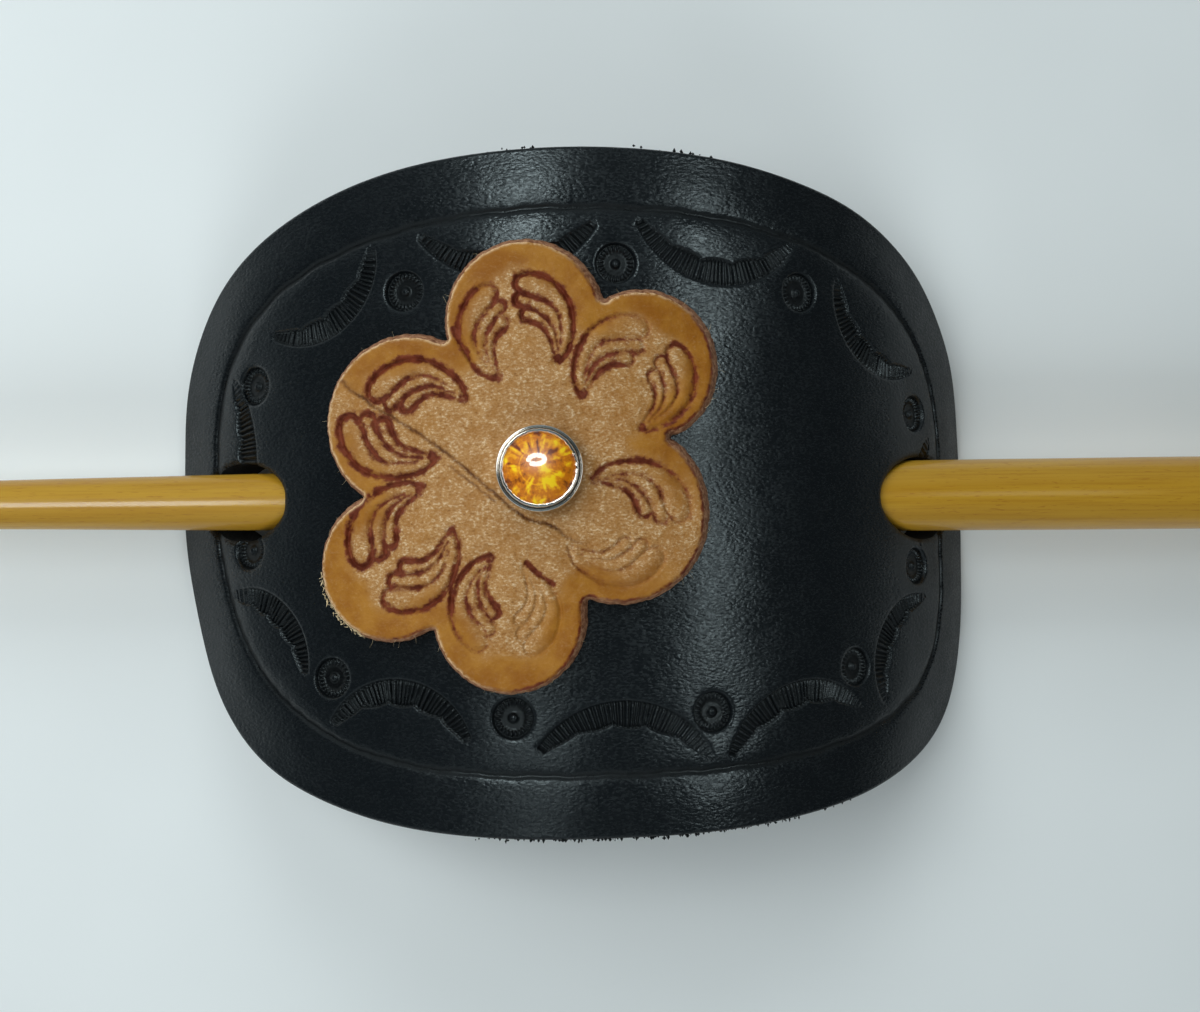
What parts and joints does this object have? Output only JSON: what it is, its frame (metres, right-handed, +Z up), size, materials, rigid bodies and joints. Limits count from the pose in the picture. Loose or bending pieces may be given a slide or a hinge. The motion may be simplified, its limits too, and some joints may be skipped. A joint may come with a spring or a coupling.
{
  "type": "leather hair barrette with stick",
  "caption": "Arched black leather hair barrette with a tooled border, a riveted tan leather flower with a stone, and a tapered wooden stick that slides through two holes to hold the hair.",
  "frame": {"origin": "on the surface that the barrette lies on, under the middle of the whole", "axes": "+X along the stick towards its thick end, +Y across the arch towards the top of the picture, +Z up"},
  "size_m": [0.17, 0.07, 0.0283],
  "materials": {
    "black_leather": "smooth finished leather, satin, with fine creases in the border",
    "tan_leather": "vegetable tanned, tooled, with brown stain in the cuts",
    "silver": "polished, slightly worn",
    "orange_stone": "clear orange dome over a bright faceted back",
    "rivet_metal": "plain nickel plate",
    "stick_wood": "lacquered honey-coloured wood with fine straight grain"
  },
  "bodies": {
    "barrette": {"leather_back": "black_leather", "leather_flower": "tan_leather", "bezel_setting": "silver", "stone": "orange_stone", "rivet_back": "rivet_metal"},
    "stick": {"stick": "stick_wood"}
  },
  "joints": [
    {"name": "stick_slide", "type": "slide", "parent": "barrette", "child": "stick", "axis": [1, 0, 0], "range_m": [-0.015, 0.13]}
  ]
}
